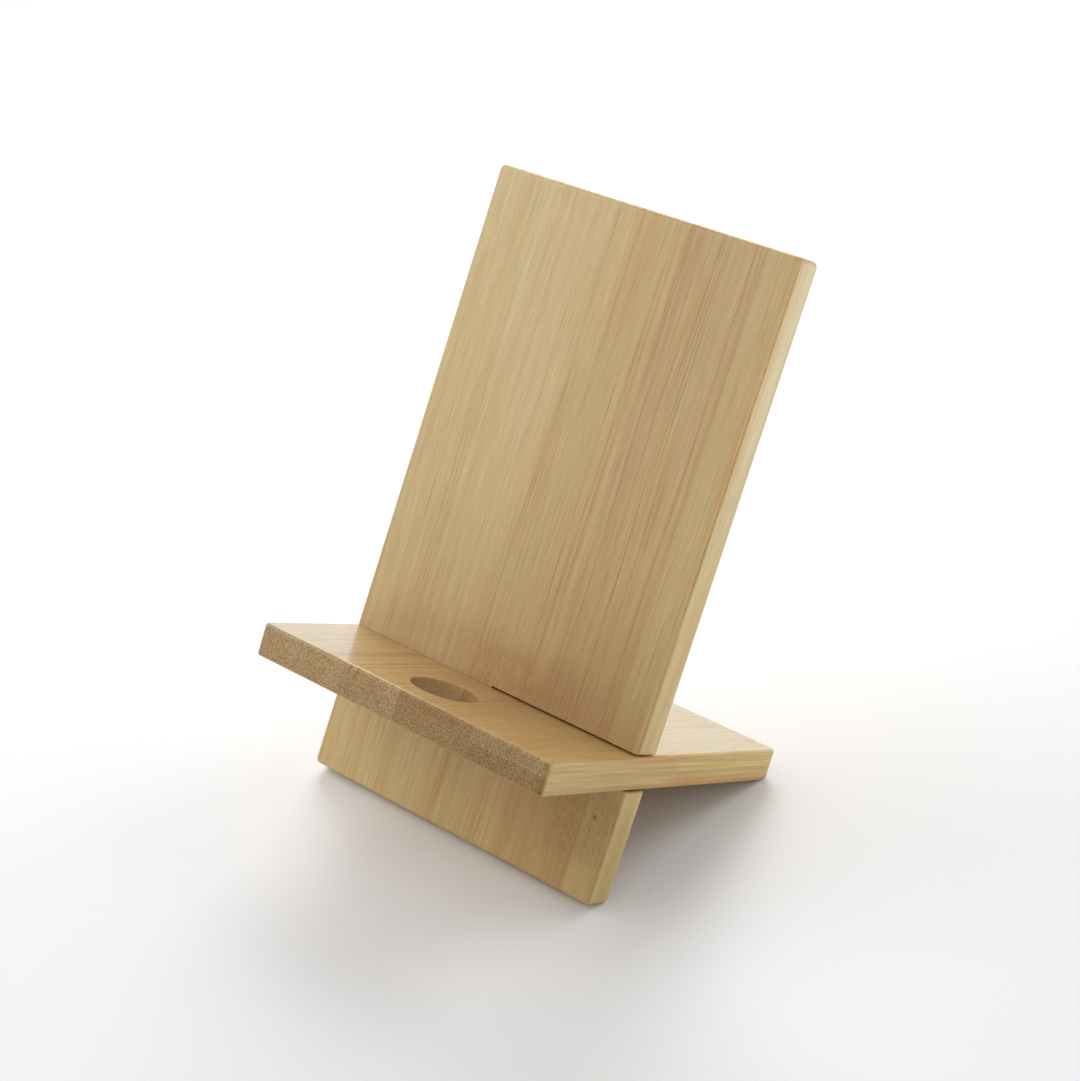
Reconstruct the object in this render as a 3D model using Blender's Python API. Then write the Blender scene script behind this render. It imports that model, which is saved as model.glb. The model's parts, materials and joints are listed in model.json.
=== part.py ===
"""Flat-pack stand for a phone or small tablet: two bamboo boards joined by a cross-lap.

The backrest board leans back. The shelf board crosses it near the bottom and slopes up to the front,
so its front part is the ledge a device stands on, and its rear part is the prop behind the stand.
Each board has one slot that runs from a side edge to the middle. The slots face each other, and
each one takes the uncut half of the other board.

Each board is built lying flat: X across its width, Y along its grain, show face at Z = 0 and the
thickness below it. It is then turned about X and put at the lap. World +X is the right side seen
from the front, -Y is the front and +Z is up.
"""

import math
from typing import NamedTuple

import bmesh
import bpy
from mathutils import Vector

MM = 0.001
TINY = 0.001 * MM

# Both boards
WIDTH = 80.0 * MM
SIDE_RADIUS = 0.7 * MM  # along the side edges
END_RADIUS = 1.1 * MM  # across the ends
CORNER_RADIUS = 1.3 * MM  # of each board's four corners
FOOT_RADIUS = 2.4 * MM
SLOT_LIP_RADIUS = 0.15 * MM
ROUNDING_SEGMENTS = 4

# Backrest board, measured from the line where its front face meets the shelf top
BACKREST_THICKNESS = 7.0 * MM
BACKREST_ABOVE = 107.0 * MM
BACKREST_BELOW = 33.25 * MM

# Shelf board, measured from the same line
SHELF_THICKNESS = 7.5 * MM
SHELF_AHEAD = 31.0 * MM
SHELF_BEHIND = 57.0 * MM

# Hole in the ledge for a charging cable
HOLE_RADIUS = 7.35 * MM
HOLE_RIM_RADIUS = 0.35 * MM
HOLE_X = 0.7 * MM
HOLE_AHEAD = 17.2 * MM
HOLE_SEGMENTS = 64

# Cross-lap: the play in the slots lets the shelf droop a little from square
LAP_CLEARANCE = 0.25 * MM
DROOP = math.radians(1.5)

BAMBOO_COLOUR = (0.55, 0.38, 0.19, 1.0)


def bamboo_material(name):
    """Satin varnished bamboo."""
    material = bpy.data.materials.new(name)
    material.use_nodes = True
    shader = material.node_tree.nodes["Principled BSDF"]
    shader.inputs["Base Color"].default_value = BAMBOO_COLOUR
    shader.inputs["Roughness"].default_value = 0.45
    shader.inputs["Metallic"].default_value = 0.0
    return material


def arc_points(centre, radius, start, end, steps):
    """Points on an arc from the start angle to the end angle, both included."""
    points = []
    for i in range(steps + 1):
        angle = start + (end - start) * i / steps
        points.append((centre[0] + radius * math.cos(angle), centre[1] + radius * math.sin(angle)))
    return points


class Board(NamedTuple):
    """A board lying flat, with lengths along Y measured from the lap's front line."""

    name: str
    thickness: float
    low: float
    high: float
    slot_low: float
    slot_high: float
    slot_end: float  # X of the slot's closed end
    mouth: int  # 1 if the slot opens at the right edge, -1 at the left edge
    foot: float  # Y of the end whose lower edge stands on the table
    hole: tuple = None  # centre of the cable hole


def board_plan(board):
    """The board's plan as polygons that share corners, split along the slot and through the hole."""
    open_side = board.mouth * WIDTH / 2
    closed_side = -open_side
    low, high = board.low, board.high
    slot_low, slot_high, slot_end = board.slot_low, board.slot_high, board.slot_end
    middle = [
        (closed_side, slot_low),
        (slot_end, slot_low),
        (slot_end, slot_high),
        (closed_side, slot_high),
    ]
    upper = [
        (closed_side, slot_high),
        (slot_end, slot_high),
        (open_side, slot_high),
        (open_side, high),
        (closed_side, high),
    ]
    if board.hole is None:
        lower = [
            (closed_side, low),
            (open_side, low),
            (open_side, slot_low),
            (slot_end, slot_low),
            (closed_side, slot_low),
        ]
        return [lower, middle, upper]
    # The hole lies ahead of the slot, between its closed end and the closed side
    hole_x = board.hole[0]
    quarter = math.pi / 2
    right_arc = arc_points(board.hole, HOLE_RADIUS, quarter, -quarter, HOLE_SEGMENTS // 2)
    left_arc = arc_points(board.hole, HOLE_RADIUS, -quarter, -3 * quarter, HOLE_SEGMENTS // 2)
    lower_right = [(hole_x, low), (closed_side, low), (closed_side, slot_low), (hole_x, slot_low)]
    lower_left = [(open_side, low), (hole_x, low)]
    slot_front = [(hole_x, slot_low), (slot_end, slot_low), (open_side, slot_low)]
    middle.insert(1, (hole_x, slot_low))
    return [lower_right + right_arc, lower_left + left_arc + slot_front, middle, upper]


def rounding_radius(board, edge):
    """Radius to which a sharp edge of the flat board is rounded, or 0."""
    a, b = (vert.co for vert in edge.verts)
    middle = (a + b) / 2
    upright = abs(a.z - b.z) > board.thickness / 2
    at_side = abs(abs(middle.x) - WIDTH / 2) < TINY
    beside_slot = board.slot_low - TINY < middle.y < board.slot_high + TINY
    in_slot = beside_slot and (middle.x - board.slot_end) * board.mouth > -TINY
    at_hole = board.hole is not None and (middle.xy - Vector(board.hole)).length < HOLE_RADIUS + TINY
    across_end = min(middle.y - board.low, board.high - middle.y) < TINY and not upright
    at_foot = across_end and abs(middle.y - board.foot) < TINY and middle.z < -board.thickness / 2
    if at_hole:
        return 0.0 if upright else HOLE_RIM_RADIUS
    if in_slot and upright and not at_side:
        return 0.0
    if in_slot and not upright:
        return SLOT_LIP_RADIUS
    if at_foot:
        return FOOT_RADIUS
    if across_end:
        return END_RADIUS
    if upright and not beside_slot:
        return CORNER_RADIUS
    return SIDE_RADIUS


def slotted_board(board, material):
    """A flat board with a slot from one side, rounded edges and, if it has one, its round hole."""
    bm = bmesh.new()
    corners = {}
    top_faces = []
    for polygon in board_plan(board):
        verts = []
        for x, y in polygon:
            key = (round(x / TINY), round(y / TINY))
            if key not in corners:
                corners[key] = bm.verts.new((x, y, 0.0))
            verts.append(corners[key])
        top_faces.append(bm.faces.new(verts))
    extruded = bmesh.ops.extrude_face_region(bm, geom=top_faces)
    lowered = [item for item in extruded["geom"] if isinstance(item, bmesh.types.BMVert)]
    bmesh.ops.translate(bm, verts=lowered, vec=(0.0, 0.0, -board.thickness))
    bmesh.ops.recalc_face_normals(bm, faces=bm.faces)

    weight = bm.edges.layers.float.new("bevel_weight_edge")
    for edge in bm.edges:
        if edge.calc_face_angle(0.0) > math.radians(30.0):
            edge[weight] = rounding_radius(board, edge) / FOOT_RADIUS
    for face in bm.faces:
        face.smooth = True

    mesh = bpy.data.meshes.new(board.name)
    bm.to_mesh(mesh)
    bm.free()
    mesh.materials.append(material)
    piece = bpy.data.objects.new(board.name, mesh)
    bpy.context.scene.collection.objects.link(piece)
    rounding = piece.modifiers.new("Rounded edges", "BEVEL")
    rounding.limit_method = "WEIGHT"
    rounding.width = FOOT_RADIUS
    rounding.segments = ROUNDING_SEGMENTS
    rounding.use_clamp_overlap = False
    rounding.harden_normals = True
    return piece


def foot_angle():
    """How far the backrest leans when both rounded feet touch the table."""
    # Y and Z here are the backrest's own: away from its front face, and up along it
    backrest_foot = Vector((BACKREST_THICKNESS - FOOT_RADIUS, FOOT_RADIUS - BACKREST_BELOW))
    rearward = Vector((math.cos(DROOP), math.sin(DROOP)))
    upward = Vector((-math.sin(DROOP), math.cos(DROOP)))
    shelf_foot = rearward * (SHELF_BEHIND - FOOT_RADIUS) - upward * (SHELF_THICKNESS - FOOT_RADIUS)
    table = shelf_foot - backrest_foot
    return math.atan2(table.y, table.x)


def world_bounds(pieces):
    """Lowest and highest corner of the pieces with their modifiers applied."""
    bpy.context.view_layer.update()
    depsgraph = bpy.context.evaluated_depsgraph_get()
    points = []
    for piece in pieces:
        finished = piece.evaluated_get(depsgraph)
        points += [piece.matrix_world @ vertex.co for vertex in finished.data.vertices]
    lowest = Vector([min(point[axis] for point in points) for axis in range(3)])
    highest = Vector([max(point[axis] for point in points) for axis in range(3)])
    return lowest, highest


for old in list(bpy.data.objects):
    bpy.data.objects.remove(old, do_unlink=True)

# The drooping shelf rises across the backrest's thickness, and the backrest shifts across the shelf's
shelf_rise = BACKREST_THICKNESS * math.tan(DROOP)
backrest_shift = SHELF_THICKNESS * math.tan(DROOP)

backrest_board = Board(
    name="backrest_board",
    thickness=BACKREST_THICKNESS,
    low=-BACKREST_BELOW,
    high=BACKREST_ABOVE,
    slot_low=-SHELF_THICKNESS - LAP_CLEARANCE,
    slot_high=shelf_rise + LAP_CLEARANCE,
    slot_end=-LAP_CLEARANCE / 2,
    mouth=1,
    foot=-BACKREST_BELOW,
)
shelf_board = Board(
    name="shelf_board",
    thickness=SHELF_THICKNESS,
    low=-SHELF_AHEAD,
    high=SHELF_BEHIND,
    slot_low=-backrest_shift - LAP_CLEARANCE,
    slot_high=BACKREST_THICKNESS + LAP_CLEARANCE,
    slot_end=LAP_CLEARANCE / 2,
    mouth=-1,
    foot=SHELF_BEHIND,
    hole=(HOLE_X, -HOLE_AHEAD),
)
backrest = slotted_board(backrest_board, bamboo_material("bamboo_backrest"))
shelf = slotted_board(shelf_board, bamboo_material("bamboo_shelf"))

lean = foot_angle()
backrest.rotation_euler.x = math.pi / 2 - lean
shelf.rotation_euler.x = DROOP - lean

# Both origins are on the lap's front line; move them so the origin is under the middle of the whole
lowest, highest = world_bounds([backrest, shelf])
offset = Vector((0.0, -(lowest.y + highest.y) / 2, -lowest.z))
backrest.location = offset
shelf.location = offset
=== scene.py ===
"""Looks of the bamboo stand.

It has two slotted boards, each glued up from bamboo strips, on a plain floor in soft light.
"""

import json
import math
from typing import NamedTuple

import bmesh
import bpy
from mathutils import Matrix, Vector


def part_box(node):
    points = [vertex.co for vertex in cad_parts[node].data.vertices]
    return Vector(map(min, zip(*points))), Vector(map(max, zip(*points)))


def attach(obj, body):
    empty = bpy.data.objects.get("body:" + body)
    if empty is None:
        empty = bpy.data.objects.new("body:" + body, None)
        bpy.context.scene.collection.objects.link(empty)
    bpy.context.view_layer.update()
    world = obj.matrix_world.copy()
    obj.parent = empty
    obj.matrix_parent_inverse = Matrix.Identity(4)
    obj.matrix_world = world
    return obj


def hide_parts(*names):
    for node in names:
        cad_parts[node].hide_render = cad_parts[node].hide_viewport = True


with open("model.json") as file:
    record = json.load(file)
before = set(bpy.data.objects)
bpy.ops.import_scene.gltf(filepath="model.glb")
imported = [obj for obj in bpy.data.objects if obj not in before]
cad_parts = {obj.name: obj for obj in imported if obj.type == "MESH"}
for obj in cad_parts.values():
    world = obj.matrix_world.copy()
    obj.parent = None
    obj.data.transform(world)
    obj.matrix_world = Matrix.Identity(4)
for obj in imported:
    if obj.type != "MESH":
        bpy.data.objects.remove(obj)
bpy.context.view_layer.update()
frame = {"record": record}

MM = 0.001
TINY = 0.001 * MM

# The boards' sizes, as in the CAD model
WIDTH = 80.0 * MM
SIDE_RADIUS = 0.7 * MM
END_RADIUS = 1.1 * MM
CORNER_RADIUS = 1.3 * MM
FOOT_RADIUS = 2.4 * MM
SLOT_LIP_RADIUS = 0.15 * MM
BACKREST_THICKNESS = 7.0 * MM
BACKREST_ABOVE = 107.0 * MM
BACKREST_BELOW = 33.25 * MM
SHELF_THICKNESS = 7.5 * MM
SHELF_AHEAD = 31.0 * MM
SHELF_BEHIND = 57.0 * MM
HOLE_RADIUS = 7.35 * MM
HOLE_RIM_RADIUS = 0.35 * MM
HOLE_X = 0.7 * MM
HOLE_AHEAD = 17.2 * MM
LAP_CLEARANCE = 0.25 * MM
# Narrower where the gap shows from the front: above the shelf and between the slots' closed ends
SEEN_CLEARANCE = 0.12 * MM

# Finer than in the CAD model
ROUNDING_SEGMENTS = 8
HOLE_SEGMENTS = 128
# Edges that turn by more than this are rounded, which leaves out the facets of the hole
SHARP_ANGLE = math.radians(30.0)


# ---------------------------------------------------------------------------
# Boards. Each is made lying flat: X across its width, Y along its grain, show
# face at Z = 0 and the thickness below it.
# ---------------------------------------------------------------------------


def arc_points(centre, radius, start, end, steps):
    """Points on an arc from the start angle to the end angle, both included."""
    points = []
    for i in range(steps + 1):
        angle = start + (end - start) * i / steps
        points.append((centre[0] + radius * math.cos(angle), centre[1] + radius * math.sin(angle)))
    return points


class Board(NamedTuple):
    """A board lying flat, with lengths along Y measured from the lap's front line."""

    thickness: float
    low: float
    high: float
    slot_low: float
    slot_high: float
    slot_end: float  # X of the slot's closed end
    mouth: int  # 1 if the slot opens at the right edge, -1 at the left edge
    foot: float  # Y of the end whose lower edge stands on the table
    hole: tuple = None  # centre of the cable hole


def board_plan(board):
    """The board's plan as polygons that share corners, split along the slot and through the hole."""
    open_side = board.mouth * WIDTH / 2
    closed_side = -open_side
    low, high = board.low, board.high
    slot_low, slot_high, slot_end = board.slot_low, board.slot_high, board.slot_end
    middle = [
        (closed_side, slot_low),
        (slot_end, slot_low),
        (slot_end, slot_high),
        (closed_side, slot_high),
    ]
    upper = [
        (closed_side, slot_high),
        (slot_end, slot_high),
        (open_side, slot_high),
        (open_side, high),
        (closed_side, high),
    ]
    if board.hole is None:
        lower = [
            (closed_side, low),
            (open_side, low),
            (open_side, slot_low),
            (slot_end, slot_low),
            (closed_side, slot_low),
        ]
        return [lower, middle, upper]
    # The hole lies ahead of the slot, between its closed end and the closed side
    hole_x = board.hole[0]
    quarter = math.pi / 2
    right_arc = arc_points(board.hole, HOLE_RADIUS, quarter, -quarter, HOLE_SEGMENTS // 2)
    left_arc = arc_points(board.hole, HOLE_RADIUS, -quarter, -3 * quarter, HOLE_SEGMENTS // 2)
    lower_right = [(hole_x, low), (closed_side, low), (closed_side, slot_low), (hole_x, slot_low)]
    lower_left = [(open_side, low), (hole_x, low)]
    slot_front = [(hole_x, slot_low), (slot_end, slot_low), (open_side, slot_low)]
    middle.insert(1, (hole_x, slot_low))
    return [lower_right + right_arc, lower_left + left_arc + slot_front, middle, upper]


def rounding_radius(board, edge):
    """Radius to which a sharp edge of the flat board is rounded, or 0."""
    a, b = (vert.co for vert in edge.verts)
    middle = (a + b) / 2
    upright = abs(a.z - b.z) > board.thickness / 2
    at_side = abs(abs(middle.x) - WIDTH / 2) < TINY
    beside_slot = board.slot_low - TINY < middle.y < board.slot_high + TINY
    in_slot = beside_slot and (middle.x - board.slot_end) * board.mouth > -TINY
    at_hole = board.hole is not None and (middle.xy - Vector(board.hole)).length < HOLE_RADIUS + TINY
    across_end = min(middle.y - board.low, board.high - middle.y) < TINY and not upright
    at_foot = across_end and abs(middle.y - board.foot) < TINY and middle.z < -board.thickness / 2
    if at_hole:
        return 0.0 if upright else HOLE_RIM_RADIUS
    if in_slot and upright and not at_side:
        return 0.0
    if in_slot and not upright:
        return SLOT_LIP_RADIUS
    if at_foot:
        return FOOT_RADIUS
    if across_end:
        return END_RADIUS
    if upright and not beside_slot:
        return CORNER_RADIUS
    return SIDE_RADIUS


def flat_board(board):
    """The board lying flat, as an object whose modifier rounds its edges."""
    bm = bmesh.new()
    corners = {}
    top_faces = []
    for polygon in board_plan(board):
        verts = []
        for x, y in polygon:
            key = (round(x / TINY), round(y / TINY))
            if key not in corners:
                corners[key] = bm.verts.new((x, y, 0.0))
            verts.append(corners[key])
        top_faces.append(bm.faces.new(verts))
    extruded = bmesh.ops.extrude_face_region(bm, geom=top_faces)
    lowered = [item for item in extruded["geom"] if isinstance(item, bmesh.types.BMVert)]
    bmesh.ops.translate(bm, verts=lowered, vec=(0.0, 0.0, -board.thickness))
    bmesh.ops.recalc_face_normals(bm, faces=bm.faces)

    weight = bm.edges.layers.float.new("bevel_weight_edge")
    for edge in bm.edges:
        if edge.calc_face_angle(0.0) > SHARP_ANGLE:
            edge[weight] = rounding_radius(board, edge) / FOOT_RADIUS
    for face in bm.faces:
        face.smooth = True

    mesh = bpy.data.meshes.new("flat board")
    bm.to_mesh(mesh)
    bm.free()
    piece = bpy.data.objects.new("flat board", mesh)
    bpy.context.scene.collection.objects.link(piece)
    rounding = piece.modifiers.new("Rounded edges", "BEVEL")
    rounding.limit_method = "WEIGHT"
    rounding.width = FOOT_RADIUS
    rounding.segments = ROUNDING_SEGMENTS
    rounding.use_clamp_overlap = False
    rounding.harden_normals = True
    return piece


def middle_of(points):
    """Middle of the box around some points."""
    return Vector([(min(p[axis] for p in points) + max(p[axis] for p in points)) / 2 for axis in range(3)])


def stand_board(name, board, node, normal):
    """A board with its show face turned to the normal and its box's middle where the CAD node has it.

    The mesh keeps each point's place on the flat board, in metres, as its attribute "board", which the
    grain follows.
    """
    flat = flat_board(board)
    bpy.context.view_layer.update()
    mesh = bpy.data.meshes.new_from_object(flat.evaluated_get(bpy.context.evaluated_depsgraph_get()))
    bpy.data.objects.remove(flat, do_unlink=True)
    on_board = mesh.attributes.new("board", "FLOAT_VECTOR", "POINT")
    for vertex in mesh.vertices:
        on_board.data[vertex.index].vector = vertex.co
    mesh.transform(Matrix.Rotation(math.atan2(-normal.y, normal.z), 4, "X"))
    shift = middle_of(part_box(node)) - middle_of([vertex.co for vertex in mesh.vertices])
    mesh.transform(Matrix.Translation(shift))
    piece = bpy.data.objects.new(name, mesh)
    bpy.context.scene.collection.objects.link(piece)
    return piece


# ---------------------------------------------------------------------------
# Bamboo
# ---------------------------------------------------------------------------

# Each tint multiplies the colour of the strip
STREAK_TINT = (0.765, 0.66, 0.44)
GLUE_TINT = (0.76, 0.62, 0.42)
KNOT_TINT = (0.90, 0.80, 0.66)
CLOUD_TINT = (0.97, 0.94, 0.89)
BUNDLE_TINT = (0.60, 0.50, 0.37)
END_CLOUD_TINT = (0.92, 0.88, 0.84)
# The pale and the dark side of each pattern
BAND_TINTS = ((1.025, 1.05, 1.09), (0.97, 0.925, 0.86))
LAYER_TINTS = ((1.02, 1.08, 1.45), (0.90, 0.72, 0.30))
GRIT_TINTS = ((1.18, 1.23, 1.33), (0.76, 0.69, 0.56))
FINE_TINTS = ((1.12, 1.15, 1.25), (0.88, 0.86, 0.77))
PALE_HAIR_TINT = (1.035, 1.055, 1.11)

# Strength of the dark streaks on the flat faces
FACE_STREAKS = 0.85
# Sideways run of the fibres for each millimetre along the board, at most half of this either way
FIBRE_SLOPE = 0.02
# Sideways wander of the fibres, in millimetres
FIBRE_WANDER = 3.0
# Bend and spread of the fibres at a knot, per millimetre
KNOT_ARCH = 0.03
KNOT_FAN = 0.018
# Distance over which the strips are taken from different parts of the culm, in millimetres
CULM_SPAN = 300.0
RELIEF = 0.02 * MM


class Shader:
    """A new material with short calls for the nodes that lead to its Principled shader."""

    def __init__(self, name):
        """Makes the material and keeps its Principled shader's sockets as the surface."""
        self.material = bpy.data.materials.new(name)
        self.material.use_nodes = True
        self.nodes = self.material.node_tree.nodes
        self.links = self.material.node_tree.links
        self.surface = self.nodes["Principled BSDF"].inputs

    def feed(self, socket, value):
        """Links another node's output to a socket, or sets the socket's own value."""
        if isinstance(value, bpy.types.NodeSocket):
            self.links.new(value, socket)
        else:
            socket.default_value = value

    def math(self, operation, *values):
        """The result of a Math node."""
        node = self.nodes.new("ShaderNodeMath")
        node.operation = operation
        for socket, value in zip(node.inputs, values):
            self.feed(socket, value)
        return node.outputs[0]

    def vector(self, operation, *values):
        """The result of a Vector Math node, a number for a dot product or a length."""
        node = self.nodes.new("ShaderNodeVectorMath")
        node.operation = operation
        for socket, value in zip(node.inputs, values):
            self.feed(socket, value)
        return node.outputs["Value" if operation in ("DOT_PRODUCT", "LENGTH") else "Vector"]

    def ramp(self, value, start, end, low=0.0, high=1.0):
        """Smoothly from low to high as the value goes from start to end."""
        node = self.nodes.new("ShaderNodeMapRange")
        node.interpolation_type = "SMOOTHSTEP"
        for socket, given in zip(node.inputs, (value, start, end, low, high)):
            self.feed(socket, given)
        return node.outputs[0]

    def steps(self, position, stops):
        """A colour that changes at once at each stop, for a position from 0 to 1."""
        node = self.nodes.new("ShaderNodeValToRGB")
        node.color_ramp.interpolation = "CONSTANT"
        elements = node.color_ramp.elements
        while len(elements) < len(stops):
            elements.new(1.0)
        for element, (start, colour) in zip(elements, stops):
            element.position = start
            element.color = (*colour, 1.0)
        self.feed(node.inputs[0], position)
        return node.outputs[0]

    def noise(self, place, detail=2.0, roughness=0.5):
        """Soft random values, mostly from 0.3 to 0.7, that change over about one unit of space."""
        node = self.nodes.new("ShaderNodeTexNoise")
        node.inputs["Scale"].default_value = 1.0
        node.inputs["Detail"].default_value = detail
        node.inputs["Roughness"].default_value = roughness
        self.feed(node.inputs["Vector"], place)
        return node.outputs[0]

    def cells(self, place):
        """Distance to the nearest of a random set of points, one for each unit of space."""
        node = self.nodes.new("ShaderNodeTexVoronoi")
        node.inputs["Scale"].default_value = 1.0
        self.feed(node.inputs["Vector"], place)
        return node.outputs["Distance"]

    def blend(self, amount, a, b, how="MIX"):
        """Two colours mixed, with the amount as the share of the second."""
        node = self.nodes.new("ShaderNodeMix")
        node.data_type = "RGBA"
        node.blend_type = how
        factor, first, second = node.inputs[0], node.inputs[6], node.inputs[7]
        for socket, value in ((factor, amount), (first, a), (second, b)):
            self.feed(socket, value)
        return node.outputs[2]

    def tint(self, amount, colour, tint):
        """The colour multiplied by a tint, as far as the amount says."""
        return self.blend(amount, colour, (*tint, 1.0), "MULTIPLY")

    def split(self, vector):
        """The three parts of a vector."""
        node = self.nodes.new("ShaderNodeSeparateXYZ")
        self.feed(node.inputs[0], vector)
        return node.outputs

    def join(self, x, y, z):
        """A vector from its three parts."""
        node = self.nodes.new("ShaderNodeCombineXYZ")
        for socket, value in zip(node.inputs, (x, y, z)):
            self.feed(socket, value)
        return node.outputs[0]

    def bump(self, height, depth):
        """A normal that follows a relief, where a height of 1 stands for the depth."""
        node = self.nodes.new("ShaderNodeBump")
        node.inputs["Strength"].default_value = 1.0
        node.inputs["Distance"].default_value = depth
        self.feed(node.inputs["Height"], height)
        return node.outputs[0]


class Strip(NamedTuple):
    """One bamboo strip of a board, from the last strip's edge to its own right edge, in millimetres."""

    edge: float
    colour: tuple
    streaks: float = 1.0  # strength of its dark streaks
    seam: float = 0.2  # darkness of the glue line at its right edge
    end: tuple = (1.0, 1.0, 1.0)  # tint of its sawn ends
    under: tuple = (1.0, 1.0, 1.0)  # tint of its lower layer


class Knot(NamedTuple):
    """A culm node: a short band across one strip where the fibres fan out, in millimetres."""

    x: float
    y: float
    half_width: float
    length: float


class Patch(NamedTuple):
    """A stretch of darker or lighter colour, faded out from its middle to its reach, in millimetres. Most
    are the bamboo's own tone; some are painted light or shade, as their comments say.
    """

    middle: tuple
    reach: tuple
    tint: tuple
    streaky: bool = False  # it follows the dark streaks


class SkinAndSheen(NamedTuple):
    """A tint along an edge of the board, growing from the start to its full strength, in millimetres.

    The darker, oranger ones stand for bamboo from nearer the culm's outer rind, which is a guess. The paler
    ones right on a corner are painted highlight on the rounded edge.
    """

    x: float
    z: float
    reach: float
    start: float
    full: float
    tint: tuple


class Bamboo(NamedTuple):
    """How one board's bamboo looks."""

    strips: list
    knots: list
    patches: list
    skins_and_sheen: list
    ply: float  # Z of the glue line between the upper and the lower layer of strips
    side_tint: tuple  # of the side edges, which cut through the pale inside of a strip
    side_streaks: float  # strength of the dark streaks there
    side_layers: float  # strength of the growth layers there
    end_tint: tuple  # of sawn ends and drilled walls, which show the fibres end on


class Grain(NamedTuple):
    """The patterns of the fibres, each a number from 0 to 1 at every point."""

    fine: object
    grit: object
    bands: object
    layers: object
    hair_noise: object
    hairs: object  # dark hair-thin streaks
    bundles: object  # vascular bundles, dots where they are cut across
    dashes: object
    clouds: object


def by_strip(s, look, x, values):
    """One of the values, as a colour, for each strip of the board."""
    across = s.math("ADD", s.math("DIVIDE", x, WIDTH / MM), 0.5)
    starts = [0.0] + [strip.edge * MM / WIDTH + 0.5 for strip in look.strips[:-1]]
    return s.steps(across, list(zip(starts, values)))


def fan_at_knots(s, look, x, y, x_bent):
    """The fibres' X, spread at each knot, and a mask that is 1 in the knots."""
    knot_mask = 0.0
    for knot in look.knots:
        half = knot.length / 2
        aside = s.math("SUBTRACT", x, knot.x)
        arch = s.math("MULTIPLY", s.math("MULTIPLY", aside, aside), KNOT_ARCH)
        along = s.math("ADD", s.math("SUBTRACT", y, knot.y), arch)
        upper = s.ramp(along, half + 1.5, half - 1.0)
        lower = s.ramp(along, -half - 3.0, -half + 1.0)
        inside = s.ramp(s.math("ABSOLUTE", aside), knot.half_width + 0.3, knot.half_width - 0.3)
        mask = s.math("MULTIPLY", s.math("MULTIPLY", upper, lower), inside)
        fan = s.math("MULTIPLY", s.math("MULTIPLY", aside, along), KNOT_FAN)
        x_bent = s.math("ADD", x_bent, s.math("MULTIPLY", fan, mask))
        knot_mask = s.math("MAXIMUM", knot_mask, mask)
    return x_bent, knot_mask


def grain_patterns(s, place, fibre_place):
    """The patterns at a place on the board, in millimetres, most of them drawn out along the fibres."""

    def stretched(width, length):
        """The place with a unit this wide across the fibres and this long along them, in millimetres."""
        return s.vector("MULTIPLY", fibre_place, (1 / width, 1 / length, 1 / width))

    hair_noise = s.noise(stretched(0.44, 130.0), 2.0, 0.65)
    crowd = s.ramp(s.noise(stretched(5.0, 90.0), 1.0), 0.38, 0.62, 0.42, 1.0)
    presence = s.ramp(s.noise(stretched(1.2, 26.0), 1.0), 0.35, 0.6, 0.38, 1.0)
    broken = s.ramp(s.noise(stretched(0.35, 7.0), 2.0), 0.35, 0.6, 0.5, 1.0)
    hairs = s.math("MULTIPLY", s.ramp(hair_noise, 0.52, 0.62), s.math("MULTIPLY", crowd, presence))
    return Grain(
        fine=s.noise(stretched(0.26, 12.0), 3.0, 0.65),
        grit=s.noise(stretched(0.2, 9.0), 2.0, 0.6),
        bands=s.noise(stretched(2.4, 110.0), 2.0, 0.6),
        layers=s.noise(stretched(0.95, 75.0), 2.0, 0.55),
        hair_noise=hair_noise,
        hairs=s.math("MULTIPLY", hairs, broken),
        bundles=s.ramp(s.cells(stretched(0.52, 20.0)), 0.46, 0.16),
        dashes=s.ramp(s.cells(stretched(0.6, 2.0)), 0.55, 0.2),
        clouds=s.noise(s.vector("MULTIPLY", place, (0.09, 0.03, 0.09)), 2.0),
    )


def add_patches(s, look, ground, x, bent_place, hair_noise):
    """The strips' colour with the board's patches and the glue lines between the strips."""
    for patch in look.patches:
        stretch = tuple(1 / reach for reach in patch.reach)
        off = s.vector("MULTIPLY", s.vector("SUBTRACT", bent_place, patch.middle), stretch)
        near = s.ramp(s.vector("LENGTH", off), 1.0, 0.3)
        if patch.streaky:
            near = s.math("MULTIPLY", near, s.ramp(hair_noise, 0.42, 0.56, 0.25, 1.0))
        ground = s.tint(near, ground, patch.tint)
    seams = 0.0
    for strip in look.strips[:-1]:
        from_seam = s.math("ABSOLUTE", s.math("SUBTRACT", x, strip.edge))
        seams = s.math("MAXIMUM", seams, s.ramp(from_seam, 0.4, 0.05, 0.0, strip.seam))
    return s.tint(seams, ground, GLUE_TINT)


def add_skins_and_sheen(s, look, colour, place):
    """The colour with the board's edge tints: the bamboo's own tone, and painted highlight on some rounded
    corners.
    """
    x, y, z = place
    for edge_band in look.skins_and_sheen:
        off_x = s.math("ABSOLUTE", s.math("SUBTRACT", x, edge_band.x))
        off_z = s.math("ABSOLUTE", s.math("SUBTRACT", z, edge_band.z))
        near = s.ramp(s.math("ADD", off_x, off_z), edge_band.reach, edge_band.reach * 0.4)
        near = s.math("MULTIPLY", near, s.ramp(y, edge_band.start, edge_band.full))
        colour = s.tint(near, colour, edge_band.tint)
    return colour


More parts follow.
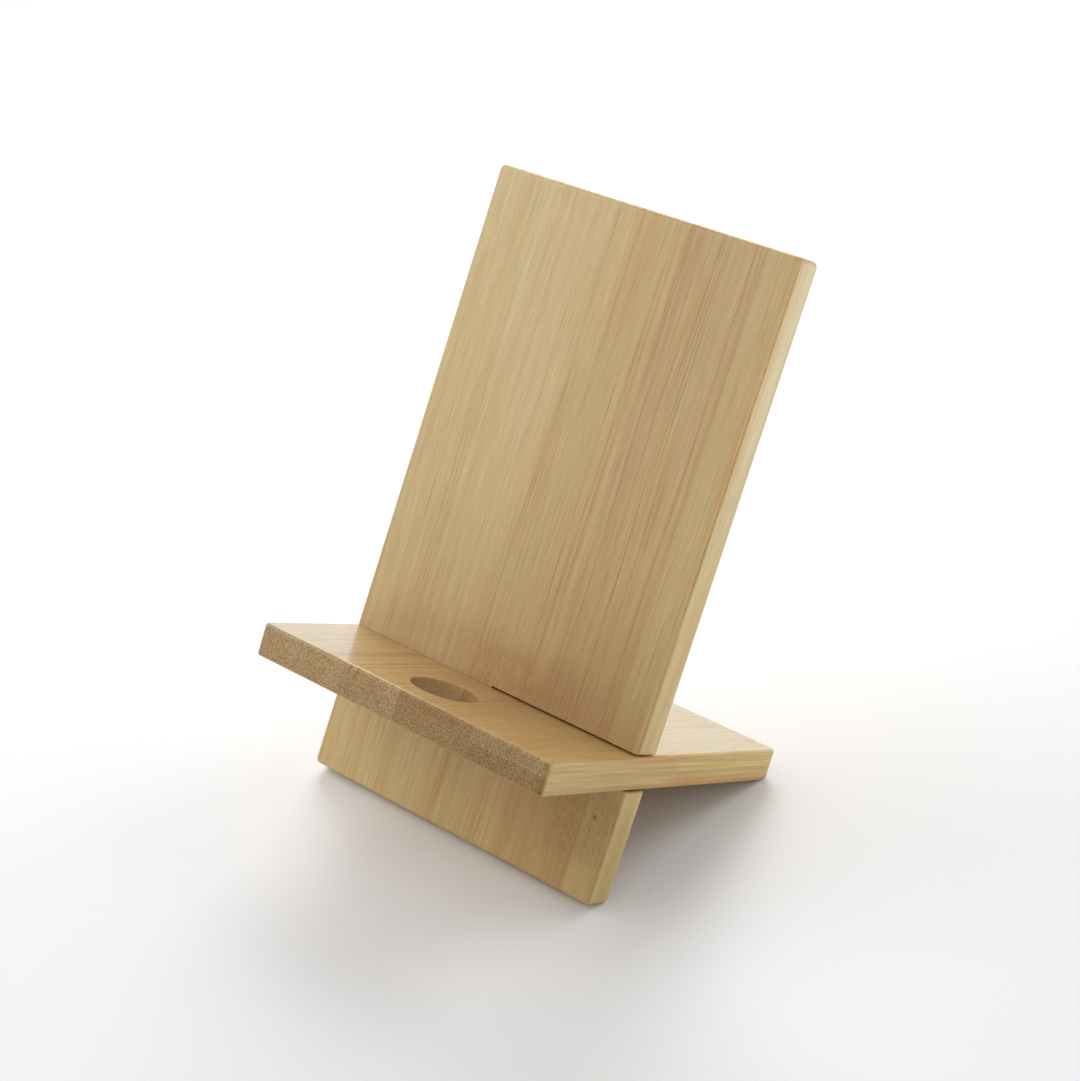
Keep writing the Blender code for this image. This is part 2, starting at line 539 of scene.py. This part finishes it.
def long_grain_colour(s, look, ground, place, side, streakiness, knot_mask, grain):
    """Colour of the faces along the grain. The side is 1 on the side edges and 0 on the flat faces."""
    colour = s.tint(s.ramp(grain.bands, 0.5, 0.35), ground, BAND_TINTS[0])
    colour = s.tint(s.ramp(grain.bands, 0.5, 0.65), colour, BAND_TINTS[1])
    colour = s.tint(s.ramp(grain.clouds, 0.4, 0.7, 0.0, 0.6), colour, CLOUD_TINT)
    streaks = s.math("MULTIPLY", grain.hairs, streakiness)
    streaks = s.math("MULTIPLY", streaks, s.ramp(knot_mask, 1.0, 0.0))
    streaks = s.math("MULTIPLY", streaks, s.ramp(side, 0.0, 1.0, FACE_STREAKS, look.side_streaks))
    colour = s.tint(streaks, colour, STREAK_TINT)
    pale_hairs = s.ramp(grain.hair_noise, 0.47, 0.33)
    colour = s.tint(s.math("MULTIPLY", pale_hairs, 0.5), colour, PALE_HAIR_TINT)
    colour = s.tint(s.math("MULTIPLY", grain.bundles, 0.15), colour, STREAK_TINT)
    colour = s.tint(s.math("MULTIPLY", knot_mask, 0.45), colour, KNOT_TINT)
    dashes = s.math("MULTIPLY", knot_mask, grain.dashes)
    colour = s.tint(s.math("MULTIPLY", dashes, 0.5), colour, STREAK_TINT)
    # The left side edge is guessed to be less pale than the right one
    paleness = s.math("MULTIPLY", side, s.ramp(place[0], -1.0, 1.0, 0.35, 1.0))
    colour = s.tint(paleness, colour, look.side_tint)
    on_side = s.math("MULTIPLY", side, look.side_layers)
    dark_layers = s.math("MULTIPLY", s.ramp(grain.layers, 0.5, 0.64), on_side)
    pale_layers = s.math("MULTIPLY", s.ramp(grain.layers, 0.5, 0.36), on_side)
    colour = s.tint(dark_layers, colour, LAYER_TINTS[1])
    colour = s.tint(pale_layers, colour, LAYER_TINTS[0])
    return add_skins_and_sheen(s, look, colour, place)


def end_grain_colour(s, look, ground, place, calm, grain):
    """Colour of sawn ends and drilled walls. Where calm is below 1 the speckles are weaker."""
    x, z = place[0], place[2]
    under = s.ramp(z, look.ply + 0.06, look.ply - 0.06)
    glue = s.ramp(s.math("ABSOLUTE", s.math("SUBTRACT", z, look.ply)), 0.18, 0.04, 0.0, 0.25)
    end_tints = by_strip(s, look, x, [strip.end for strip in look.strips])
    under_tints = by_strip(s, look, x, [strip.under for strip in look.strips])
    colour = s.tint(1.0, ground, look.end_tint)
    colour = s.blend(1.0, colour, end_tints, "MULTIPLY")
    colour = s.blend(under, colour, under_tints, "MULTIPLY")
    colour = s.tint(glue, colour, GLUE_TINT)
    colour = s.tint(s.ramp(grain.clouds, 0.35, 0.65), colour, END_CLOUD_TINT)
    colour = s.tint(s.math("MULTIPLY", grain.bundles, calm), colour, BUNDLE_TINT)
    dark_grit = s.math("MULTIPLY", s.ramp(grain.grit, 0.45, 0.65), calm)
    pale_grit = s.math("MULTIPLY", s.ramp(grain.grit, 0.5, 0.32), calm)
    colour = s.tint(dark_grit, colour, GRIT_TINTS[1])
    return s.tint(pale_grit, colour, GRIT_TINTS[0])


def bamboo_material(name, look, along_grain, hole=None):
    """Satin varnished bamboo, as a solid pattern in the board's own millimetres.

    along_grain is the direction of the fibres on the standing board.
    """
    s = Shader(name)
    attribute = s.nodes.new("ShaderNodeAttribute")
    attribute.attribute_name = "board"
    place = s.vector("MULTIPLY", attribute.outputs["Vector"], (1 / MM, 1 / MM, 1 / MM))
    x, y, z = s.split(place)
    normal = s.nodes.new("ShaderNodeNewGeometry").outputs["Normal"]

    # Each strip has its own colour and comes from another part of the culm
    ground = by_strip(s, look, x, [strip.colour for strip in look.strips])
    kinds = [
        ((0.137 + 0.61 * i) % 1.0, 0.5 + 0.4 * math.sin(2.3 * i + 1.0), strip.streaks / 2)
        for i, strip in enumerate(look.strips)
    ]
    culm, tilt, half_streakiness = s.split(by_strip(s, look, x, kinds))
    streakiness = s.math("MULTIPLY", half_streakiness, 2.0)

    # Fibres wander a little, are not quite square to the ends and fan out at a knot
    wander = s.noise(s.vector("MULTIPLY", place, (0.05, 0.012, 0.05)), 1.0)
    slope = s.math("MULTIPLY", s.math("SUBTRACT", tilt, 0.5), FIBRE_SLOPE)
    x_bent = s.math("ADD", x, s.math("MULTIPLY", y, slope))
    x_bent = s.math("ADD", x_bent, s.math("MULTIPLY", s.math("SUBTRACT", wander, 0.5), FIBRE_WANDER))
    x_bent, knot_mask = fan_at_knots(s, look, x, y, x_bent)
    culm_z = s.math("ADD", z, s.math("MULTIPLY", culm, CULM_SPAN))
    grain = grain_patterns(s, place, s.join(x_bent, y, culm_z))
    ground = add_patches(s, look, ground, x, s.join(x_bent, y, z), grain.hair_noise)

    side = s.ramp(s.math("ABSOLUTE", s.split(normal)[0]), 0.5, 1.0)
    colour = long_grain_colour(s, look, ground, (x, y, z), side, streakiness, knot_mask, grain)
    endward = s.math("ABSOLUTE", s.vector("DOT_PRODUCT", normal, along_grain))
    end = s.ramp(endward, 0.35, 0.9)
    calm = 1.0
    if hole is not None:
        from_hole = s.vector("LENGTH", s.vector("SUBTRACT", s.join(x, y, 0.0), (*hole, 0.0)))
        wall = s.ramp(from_hole, HOLE_RADIUS / MM + 0.3, HOLE_RADIUS / MM + 0.05)
        end = s.math("MAXIMUM", end, wall)
        calm = s.ramp(wall, 0.0, 1.0, 1.0, 0.45)
    colour = s.blend(end, colour, end_grain_colour(s, look, ground, (x, y, z), calm, grain))
    colour = s.tint(s.ramp(grain.fine, 0.5, 0.3), colour, FINE_TINTS[0])
    colour = s.tint(s.ramp(grain.fine, 0.5, 0.7), colour, FINE_TINTS[1])
    s.feed(s.surface["Base Color"], colour)

    satin = s.ramp(grain.fine, 0.3, 0.7, 0.40, 0.50)
    s.feed(s.surface["Roughness"], s.math("ADD", satin, s.math("MULTIPLY", end, 0.15)))
    s.surface["Specular IOR Level"].default_value = 0.3
    # Sawn ends shine less, as if they soaked up the varnish
    s.feed(s.surface["Coat Weight"], s.ramp(endward, 0.05, 0.6, 1.0, 0.15))
    s.surface["Coat Roughness"].default_value = 0.22
    pores = s.math("ADD", s.math("MULTIPLY", grain.bundles, -0.6), s.math("MULTIPLY", grain.hairs, -0.4))
    height = s.math("ADD", pores, s.math("MULTIPLY", grain.fine, 0.35))
    s.feed(s.surface["Normal"], s.bump(height, RELIEF))
    return s.material


# ---------------------------------------------------------------------------
# The two boards
# ---------------------------------------------------------------------------

face_normals = {mount["name"]: Vector(mount["axis"]) for mount in frame["record"]["mounts"]}
backrest_normal = face_normals["device_backrest"]
shelf_normal = face_normals["device_ledge"]
# How far the shelf droops from square to the backrest
droop = math.pi / 2 - shelf_normal.angle(backrest_normal)

shelf_rise = BACKREST_THICKNESS * math.tan(droop)
backrest_shift = SHELF_THICKNESS * math.tan(droop)
backrest_board = Board(
    thickness=BACKREST_THICKNESS,
    low=-BACKREST_BELOW,
    high=BACKREST_ABOVE,
    slot_low=-SHELF_THICKNESS - LAP_CLEARANCE,
    slot_high=shelf_rise + SEEN_CLEARANCE,
    slot_end=-SEEN_CLEARANCE / 2,
    mouth=1,
    foot=-BACKREST_BELOW,
)
shelf_board = Board(
    thickness=SHELF_THICKNESS,
    low=-SHELF_AHEAD,
    high=SHELF_BEHIND,
    slot_low=-backrest_shift - LAP_CLEARANCE,
    slot_high=BACKREST_THICKNESS + LAP_CLEARANCE,
    slot_end=SEEN_CLEARANCE / 2,
    mouth=-1,
    foot=SHELF_BEHIND,
    hole=(HOLE_X, -HOLE_AHEAD),
)
backrest = stand_board("backrest", backrest_board, "backrest_board", backrest_normal)
shelf = stand_board("shelf", shelf_board, "shelf_board", shelf_normal)

rightward = Vector((1.0, 0.0, 0.0))
# The tints of the strips, patches and edge tints were set one by one until each area had the real stand's
# colour in this light, so they may hold some of its light and shade too
backrest_look = Bamboo(
    strips=[
        Strip(-24.0, (0.665, 0.487, 0.215), 0.8, 0.1),
        Strip(-6.6, (0.652, 0.462, 0.198), 0.6, 0.3),
        Strip(12.0, (0.635, 0.438, 0.180), 1.2, 0.1),
        Strip(31.6, (0.592, 0.388, 0.152), 1.2, 0.3),
        Strip(40.0, (0.612, 0.424, 0.170), 0.5),
    ],
    knots=[Knot(3.0, 3.5, 9.0, 11.0), Knot(32.0, -17.0, 8.0, 14.0)],
    patches=[
        # Paler left of the middle, oranger right of it
        Patch((-19.0, 60.0, 0.0), (14.0, 120.0, 9.0), (1.03, 1.055, 1.10)),
        Patch((8.0, 60.0, 0.0), (14.0, 130.0, 9.0), (0.96, 0.925, 0.88)),
        # Darker and oranger streaks of the front face
        Patch((-26.0, 20.0, 0.0), (4.0, 60.0, 6.0), (0.95, 0.88, 0.80), True),
        Patch((-5.0, 50.0, 0.0), (2.5, 28.0, 4.0), (0.93, 0.82, 0.66), True),
        Patch((-1.0, 95.0, 0.0), (1.6, 25.0, 4.0), (0.95, 0.85, 0.72), True),
        Patch((14.0, 95.0, 0.0), (1.6, 30.0, 4.0), (0.94, 0.82, 0.68), True),
        Patch((20.0, 85.0, 0.0), (2.0, 20.0, 4.0), (0.96, 0.88, 0.76), True),
        Patch((30.4, 50.0, 0.0), (2.4, 90.0, 5.0), (0.92, 0.80, 0.64), True),
        # Painted shade towards the bottom, most where the shelf meets the backrest, and a dark spot in the
        # bamboo near the right foot
        Patch((5.0, 2.0, 0.0), (60.0, 14.0, 6.0), (0.86, 0.78, 0.74)),
        Patch((28.0, -5.0, 0.0), (22.0, 45.0, 8.0), (0.89, 0.87, 0.79)),
        Patch((35.4, -15.5, 0.0), (0.7, 1.0, 0.8), (0.60, 0.46, 0.32)),
        # Painted light and shade on the right side edge: palest at the top, darker at the bottom
        Patch((40.0, 110.0, -4.0), (4.0, 95.0, 4.0), (1.22, 1.38, 2.00)),
        Patch((40.0, -30.0, -3.5), (5.0, 45.0, 4.5), (0.80, 0.80, 0.68)),
    ],
    skins_and_sheen=[
        SkinAndSheen(39.0, 0.0, 1.2, 0.0, 60.0, (0.985, 0.885, 0.74)),
        # Painted highlight right on the rounded corner
        SkinAndSheen(39.5, 0.0, 0.42, -40.0, 90.0, (1.22, 1.34, 1.70)),
        SkinAndSheen(40.0, -0.3, 0.9, 10.0, 90.0, (1.28, 1.25, 1.44)),
    ],
    ply=-3.4,
    side_tint=(1.22, 1.29, 1.27),
    side_streaks=0.4,
    side_layers=0.15,
    end_tint=(1.12, 1.18, 1.40),
)
shelf_look = Bamboo(
    strips=[
        Strip(-16.0, (0.560, 0.335, 0.105), 1.2, 0.1, end=(1.0, 1.0, 1.0), under=(0.97, 0.95, 0.95)),
        Strip(0.0, (0.563, 0.345, 0.113), 1.3, 0.1, end=(0.95, 0.90, 0.85), under=(0.95, 0.93, 0.92)),
        Strip(20.0, (0.558, 0.342, 0.105), 1.3, 0.1, end=(0.77, 0.67, 0.58), under=(1.02, 1.02, 1.04)),
        Strip(40.0, (0.568, 0.365, 0.112), 1.3, end=(0.82, 0.75, 0.68), under=(0.86, 0.79, 0.72)),
    ],
    knots=[Knot(-8.0, 40.0, 8.0, 10.0)],
    patches=[
        Patch((-12.2, -20.0, 0.0), (0.7, 60.0, 4.0), (0.84, 0.68, 0.46)),
        Patch((-14.4, -20.0, 0.0), (0.6, 60.0, 4.0), (0.86, 0.72, 0.52)),
        Patch((-20.5, -20.0, 0.0), (2.5, 60.0, 4.0), (0.96, 0.88, 0.74), True),
        Patch((10.0, -20.0, 0.0), (7.0, 60.0, 4.0), (0.94, 0.85, 0.70), True),
        # Paler at the left front and at the rear
        Patch((-38.0, -28.0, 0.0), (15.0, 32.0, 1.2), (0.92, 1.10, 1.33)),
        Patch((20.0, 44.0, 0.0), (70.0, 36.0, 3.0), (0.94, 1.10, 1.40)),
        Patch((40.0, -26.0, 0.0), (7.0, 16.0, 1.2), (1.08, 1.16, 1.20)),
        # Darker beside the backrest: painted shade, with some of the bamboo's own tone
        Patch((0.0, -1.0, 0.0), (60.0, 10.0, 3.0), (0.91, 0.85, 0.80)),
        Patch((-19.0, -5.0, 0.0), (17.0, 13.0, 3.0), (1.09, 1.07, 0.72)),
        Patch((1.0, -14.0, 0.0), (10.0, 13.0, 3.0), (1.07, 1.05, 0.88)),
        Patch((29.0, -4.0, 0.0), (13.0, 10.0, 3.0), (0.97, 0.95, 0.80)),
        Patch((-27.0, -26.0, 0.0), (9.0, 8.0, 3.0), (0.90, 0.96, 0.96)),
        Patch((-9.0, -27.0, 0.0), (17.0, 9.0, 1.2), (1.0, 1.03, 0.86)),
        # The right side edge is palest at the rear
        Patch((40.0, 50.0, -2.2), (5.0, 45.0, 3.0), (1.20, 1.40, 1.85)),
        Patch((40.0, -15.0, -7.0), (4.0, 34.0, 5.0), (0.84, 0.79, 0.67)),
        # Orange streaks and a pale one along the right side edge
        Patch((40.0, 34.0, -4.3), (4.0, 36.0, 0.7), (0.90, 0.82, 0.66)),
        Patch((40.0, -4.0, -3.7), (4.0, 16.0, 0.6), (0.92, 0.86, 0.74)),
        Patch((40.0, 41.0, -5.3), (4.0, 14.0, 0.8), (1.06, 1.10, 1.20)),
    ],
    skins_and_sheen=[
        SkinAndSheen(40.0, -0.5, 1.1, -60.0, 10.0, (0.97, 0.80, 0.56)),
        SkinAndSheen(40.0, -7.5, 1.6, 0.0, 40.0, (0.98, 0.82, 0.55)),
        # Painted highlight right on the rounded corner
        SkinAndSheen(39.7, -0.1, 0.6, 5.0, 15.0, (1.52, 1.70, 2.45)),
    ],
    ply=-3.6,
    side_tint=(1.12, 1.20, 1.12),
    side_streaks=0.45,
    side_layers=1.0,
    end_tint=(0.95, 1.11, 1.78),
)
backrest_bamboo = bamboo_material("backrest bamboo", backrest_look, tuple(backrest_normal.cross(rightward)))
backrest.data.materials.append(backrest_bamboo)
shelf_bamboo = bamboo_material(
    "shelf bamboo",
    shelf_look,
    tuple(shelf_normal.cross(rightward)),
    hole=(HOLE_X / MM, -HOLE_AHEAD / MM),
)
shelf.data.materials.append(shelf_bamboo)
for piece, body, node, slot in (
    (backrest, "backrest", "backrest_board", "bamboo_backrest"),
    (shelf, "shelf", "shelf_board", "bamboo_shelf"),
):
    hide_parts(node)
    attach(piece, body)

# ---------------------------------------------------------------------------
# Floor, light and camera
# ---------------------------------------------------------------------------


class Softbox(NamedTuple):
    """A square lamp aimed at the stand: its place and side in metres, and its power in watts."""

    at: tuple
    size: float
    power: float


FLOOR_SIZE = 8.0
FLOOR_GREY = 0.9
FLOOR_ROUGHNESS = 0.5
WORLD_STRENGTH = 0.32
LAMPS_AIM = Vector((0.0, 0.0, 0.06))
SOFTBOXES = (
    Softbox((-0.36, -0.34, 0.52), 0.75, 1.75),
    Softbox((-0.45, -0.10, 0.35), 0.50, 1.00),
    Softbox((0.50, 0.00, 0.30), 0.35, 0.37),
    Softbox((-0.35, 0.45, 0.35), 0.40, 2.30),
    Softbox((0.23, 0.46, 0.42), 0.40, 1.12),
)
CAMERA_AIM = Vector((0.0, 3.30, 60.93)) * MM
CAMERA_AT = Vector((287.27, -331.53, 322.27)) * MM
CAMERA_ROLL = math.radians(-0.472)
CAMERA_LENS = 80.195
CAMERA_SENSOR = 36.0
CAMERA_CLIP_START = 0.01


def facing(place, target):
    """Matrix of a lamp or a camera at a place, turned to the target."""
    turn = (target - place).to_track_quat("-Z", "Y").to_matrix().to_4x4()
    return Matrix.Translation(place) @ turn


def add_floor():
    """A plain pale floor."""
    bpy.ops.mesh.primitive_plane_add(size=FLOOR_SIZE)
    floor = bpy.context.object
    floor.name = "floor"
    paint = Shader("floor")
    paint.surface["Base Color"].default_value = (FLOOR_GREY, FLOOR_GREY, FLOOR_GREY, 1.0)
    paint.surface["Roughness"].default_value = FLOOR_ROUGHNESS
    floor.data.materials.append(paint.material)


def add_light():
    """A white surrounding and the softboxes."""
    world = bpy.data.worlds.new("studio")
    world.use_nodes = True
    background = world.node_tree.nodes["Background"].inputs
    background["Color"].default_value = (1.0, 1.0, 1.0, 1.0)
    background["Strength"].default_value = WORLD_STRENGTH
    bpy.context.scene.world = world
    for softbox in SOFTBOXES:
        lamp_data = bpy.data.lights.new("softbox", "AREA")
        lamp_data.shape = "SQUARE"
        lamp_data.size = softbox.size
        lamp_data.energy = softbox.power
        lamp = bpy.data.objects.new("softbox", lamp_data)
        bpy.context.scene.collection.objects.link(lamp)
        lamp.matrix_world = facing(Vector(softbox.at), LAMPS_AIM)
        lamp.visible_camera = False


def add_camera():
    """The scene's camera, above and to the right of the stand's front."""
    camera_data = bpy.data.cameras.new("camera")
    camera_data.lens = CAMERA_LENS
    camera_data.sensor_width = CAMERA_SENSOR
    camera_data.clip_start = CAMERA_CLIP_START
    camera = bpy.data.objects.new("camera", camera_data)
    bpy.context.scene.collection.objects.link(camera)
    camera.matrix_world = facing(CAMERA_AT, CAMERA_AIM) @ Matrix.Rotation(CAMERA_ROLL, 4, "Z")
    bpy.context.scene.camera = camera


add_floor()
add_light()
add_camera()
bpy.context.scene.view_settings.view_transform = "Standard"
